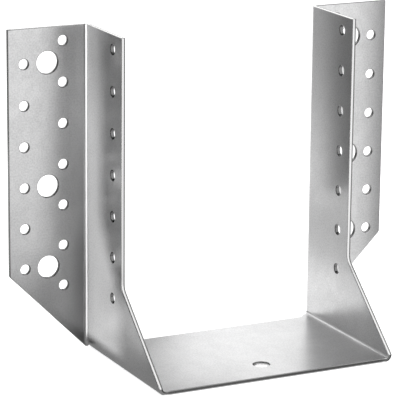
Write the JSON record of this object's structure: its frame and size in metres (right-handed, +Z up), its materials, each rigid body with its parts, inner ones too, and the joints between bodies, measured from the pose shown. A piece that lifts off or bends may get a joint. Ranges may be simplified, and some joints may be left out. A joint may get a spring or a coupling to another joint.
{
  "type": "joist hanger",
  "caption": "Folded galvanised sheet bracket with outward flanges that carries the end of a joist on a header, fixed with nails or bolts.",
  "frame": {"origin": "middle of the hanger's width and depth, on the underside of the seat", "axes": "+X across the pocket to the right web, +Y from the open front of the pocket towards the header, +Z up"},
  "size_m": [0.204, 0.084, 0.16],
  "materials": {
    "galvanised_sheet": "satin galvanised zinc with faint mottling"
  },
  "bodies": {
    "root": {"hanger": "galvanised_sheet"}
  },
  "joints": []
}
